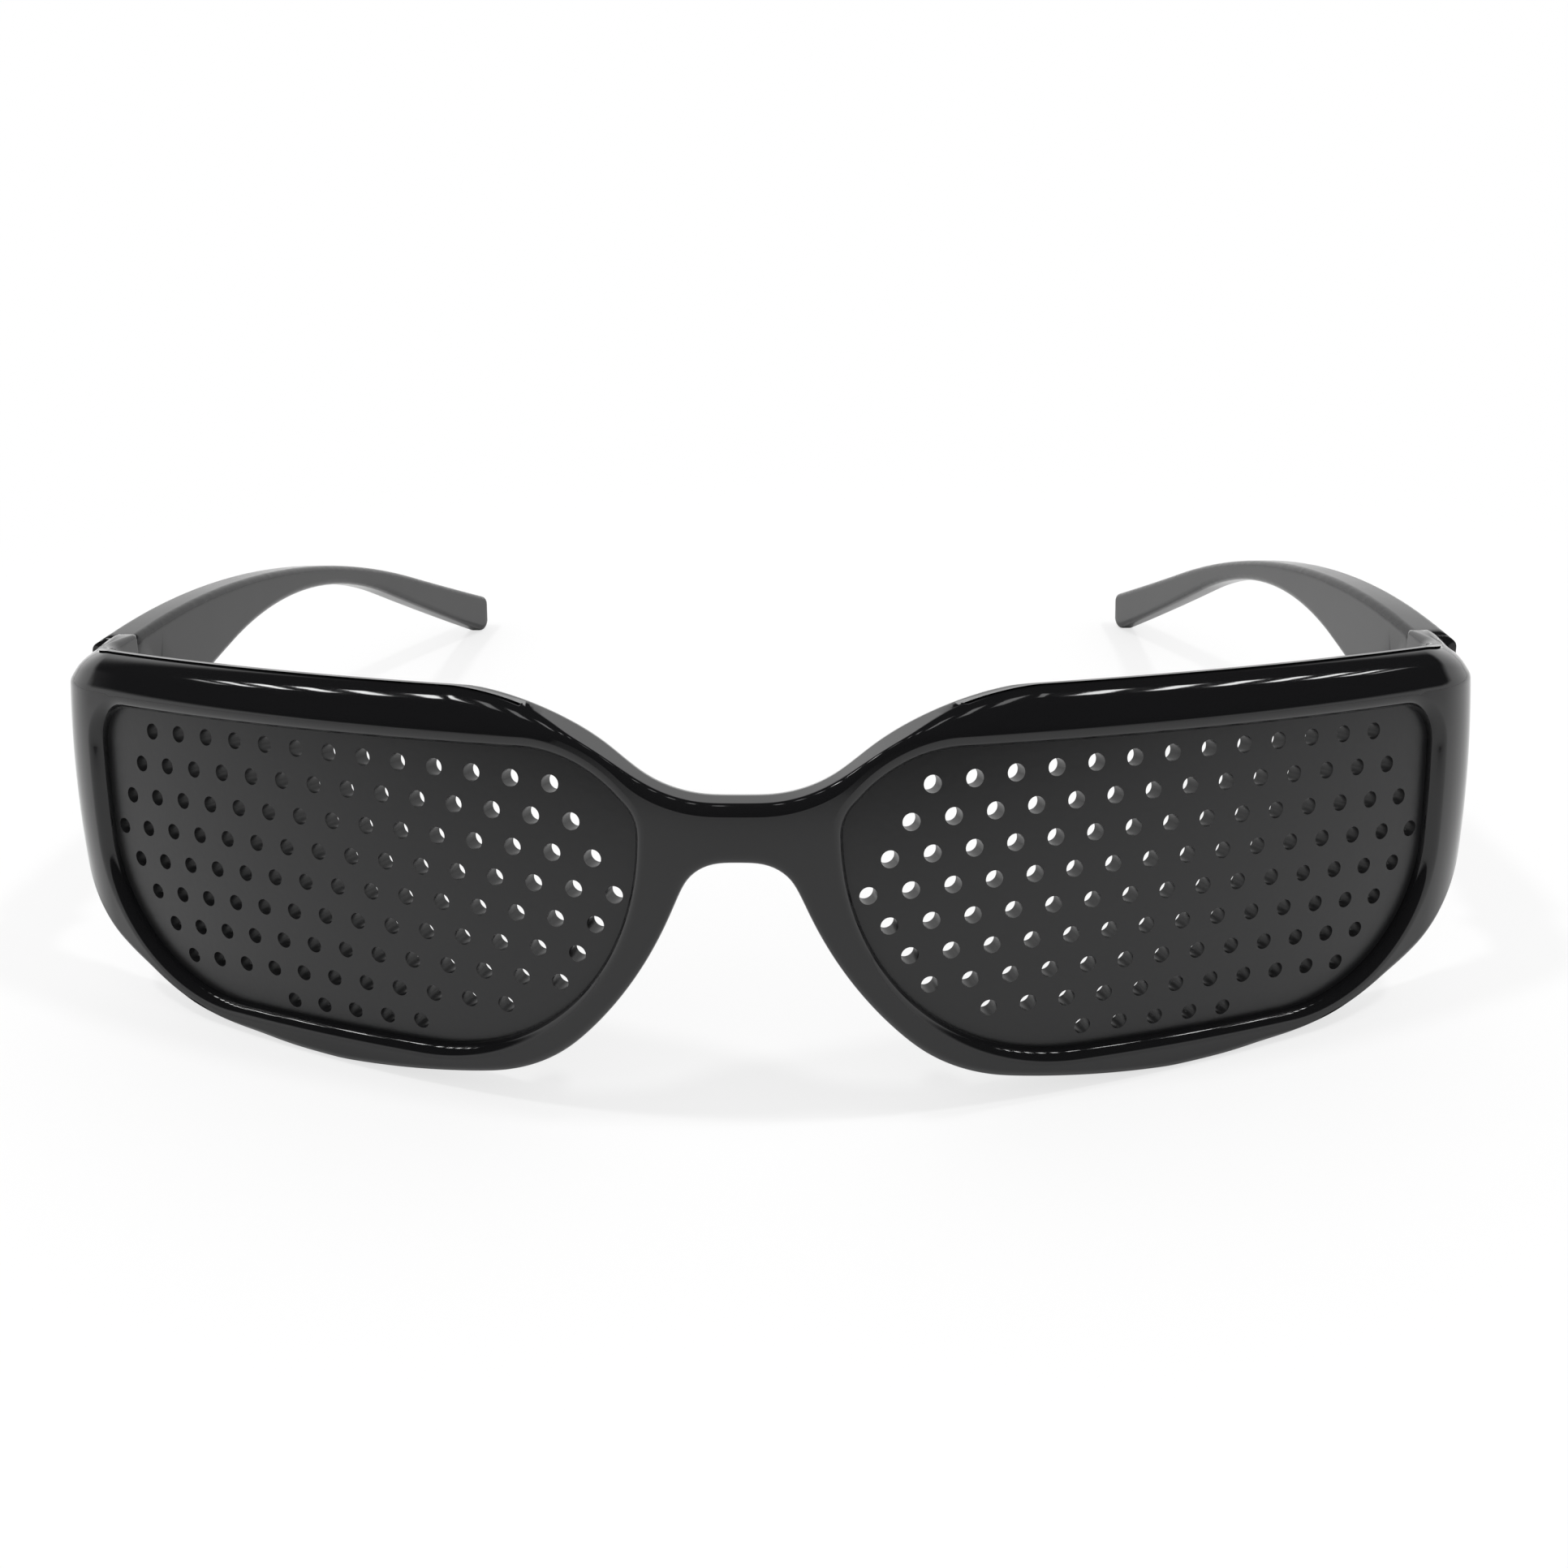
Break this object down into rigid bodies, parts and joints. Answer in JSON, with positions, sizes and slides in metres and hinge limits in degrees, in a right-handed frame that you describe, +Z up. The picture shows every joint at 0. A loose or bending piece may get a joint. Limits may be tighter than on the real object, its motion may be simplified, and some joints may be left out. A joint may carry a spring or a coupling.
{
  "type": "pinhole glasses",
  "caption": "Black wraparound plastic glasses whose lenses are opaque plates pierced with rows of small round holes, with temples that fold flat on hinges.",
  "frame": {"origin": "on the table, midway between the temples and midway between the front and the ear tips", "axes": "+X to the wearer's left, -Y the way the wearer looks (the front of the glasses), +Z up"},
  "size_m": [0.1532, 0.1599, 0.0402],
  "materials": {
    "frame_plastic": "polished black injection-moulded plastic",
    "temple_plastic": "polished black injection-moulded plastic",
    "plate_plastic": "satin black plastic sheet",
    "hinge_steel": "plain steel"
  },
  "bodies": {
    "front": {"frame_front": "frame_plastic", "left_lens": "plate_plastic", "right_lens": "plate_plastic", "left_front_hinge_leaf": "hinge_steel", "right_front_hinge_leaf": "hinge_steel", "left_hinge_screw": "hinge_steel", "right_hinge_screw": "hinge_steel"},
    "left_arm": {"left_temple": "temple_plastic", "left_temple_hinge_leaf": "hinge_steel"},
    "right_arm": {"right_temple": "temple_plastic", "right_temple_hinge_leaf": "hinge_steel"}
  },
  "joints": [
    {"name": "left_temple_fold", "type": "hinge", "parent": "front", "child": "left_arm", "pos_m": [0.07116, -0.04022, 0.02827], "axis": [0, 0.1392, 0.9903], "range_deg": [0, 90]},
    {"name": "right_temple_fold", "type": "hinge", "parent": "front", "child": "right_arm", "pos_m": [-0.07116, -0.04022, 0.02827], "axis": [0, -0.1392, -0.9903], "range_deg": [0, 85]}
  ]
}
